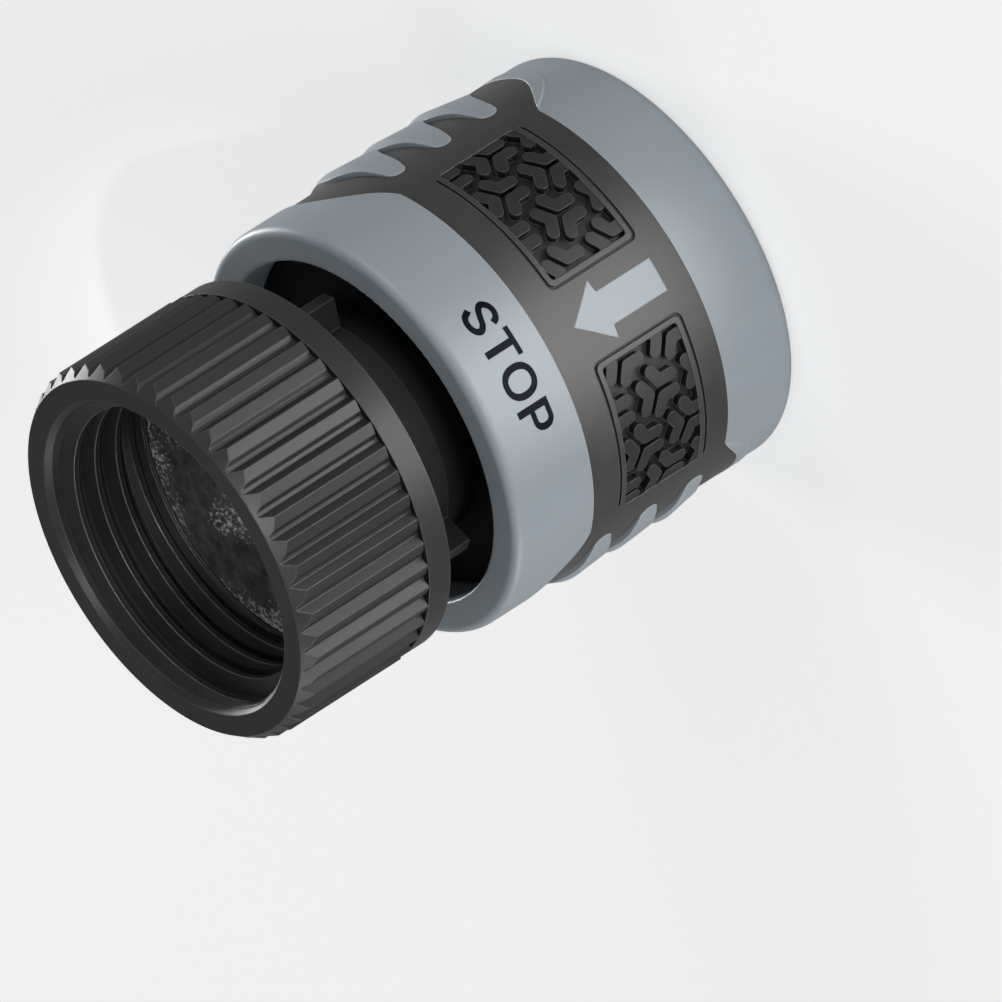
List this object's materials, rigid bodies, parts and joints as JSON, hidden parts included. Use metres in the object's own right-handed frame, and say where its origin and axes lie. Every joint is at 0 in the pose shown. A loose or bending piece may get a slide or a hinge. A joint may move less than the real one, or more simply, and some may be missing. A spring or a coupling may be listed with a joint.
{
  "type": "garden hose quick coupler",
  "caption": "Plastic garden hose quick coupler: a threaded inlet with a ribbed grip, a stop valve that opens when an adapter is pushed in, and a pull-back locking sleeve with a soft grip.",
  "frame": {"origin": "centre of the socket's front face, on the floor that the part stands on", "axes": "+Z along the axis from the socket's front face to the threaded inlet; -Y towards one arrow on the grip and +Y towards the other; X through the two groups of finger scales"},
  "size_m": [0.0374, 0.0362, 0.0515],
  "materials": {
    "black_plastic": "satin",
    "grey_plastic": "satin",
    "soft_grip": "matte",
    "seal_rubber": "matte",
    "white_acetal": "satin",
    "spring_steel": "bright drawn wire"
  },
  "bodies": {
    "core": {"inlet_body": "black_plastic", "hose_washer": "seal_rubber", "body_gasket": "seal_rubber", "socket_body": "black_plastic", "valve_guide": "white_acetal", "valve_spring": "spring_steel", "spring_seat": "black_plastic", "sleeve_spring": "spring_steel"},
    "sleeve": {"sleeve_shell": "grey_plastic", "grip_cover": "soft_grip"},
    "valve": {"valve_plunger": "white_acetal", "valve_seal": "seal_rubber"},
    "jaw_1": {"lock_jaw_1": "white_acetal"},
    "jaw_2": {"lock_jaw_2": "white_acetal"},
    "jaw_3": {"lock_jaw_3": "white_acetal"},
    "jaw_4": {"lock_jaw_4": "white_acetal"}
  },
  "joints": [
    {"name": "sleeve_slide", "type": "slide", "parent": "core", "child": "sleeve", "axis": [0, 0, 1], "range_m": [0, 0.0045], "stiffness_N_per_m": 800, "springref_m": -0.004, "deforming": ["sleeve_spring"]},
    {"name": "valve_slide", "type": "slide", "parent": "core", "child": "valve", "axis": [0, 0, 1], "range_m": [0, 0.004], "stiffness_N_per_m": 300, "springref_m": -0.004, "deforming": ["valve_spring"]},
    {"name": "jaw_1_slide", "type": "slide", "parent": "core", "child": "jaw_1", "axis": [0.7071, 0.7071, 0], "range_m": [0, 0.0015]},
    {"name": "jaw_2_slide", "type": "slide", "parent": "core", "child": "jaw_2", "axis": [-0.7071, 0.7071, 0], "range_m": [0, 0.0015]},
    {"name": "jaw_3_slide", "type": "slide", "parent": "core", "child": "jaw_3", "axis": [-0.7071, -0.7071, 0], "range_m": [0, 0.0015]},
    {"name": "jaw_4_slide", "type": "slide", "parent": "core", "child": "jaw_4", "axis": [0.7071, -0.7071, 0], "range_m": [0, 0.0015]}
  ],
  "couplings": [
    {"joint": "jaw_1_slide", "follows": "sleeve_slide", "ratio": 0.3333},
    {"joint": "jaw_2_slide", "follows": "sleeve_slide", "ratio": 0.3333},
    {"joint": "jaw_3_slide", "follows": "sleeve_slide", "ratio": 0.3333},
    {"joint": "jaw_4_slide", "follows": "sleeve_slide", "ratio": 0.3333}
  ]
}
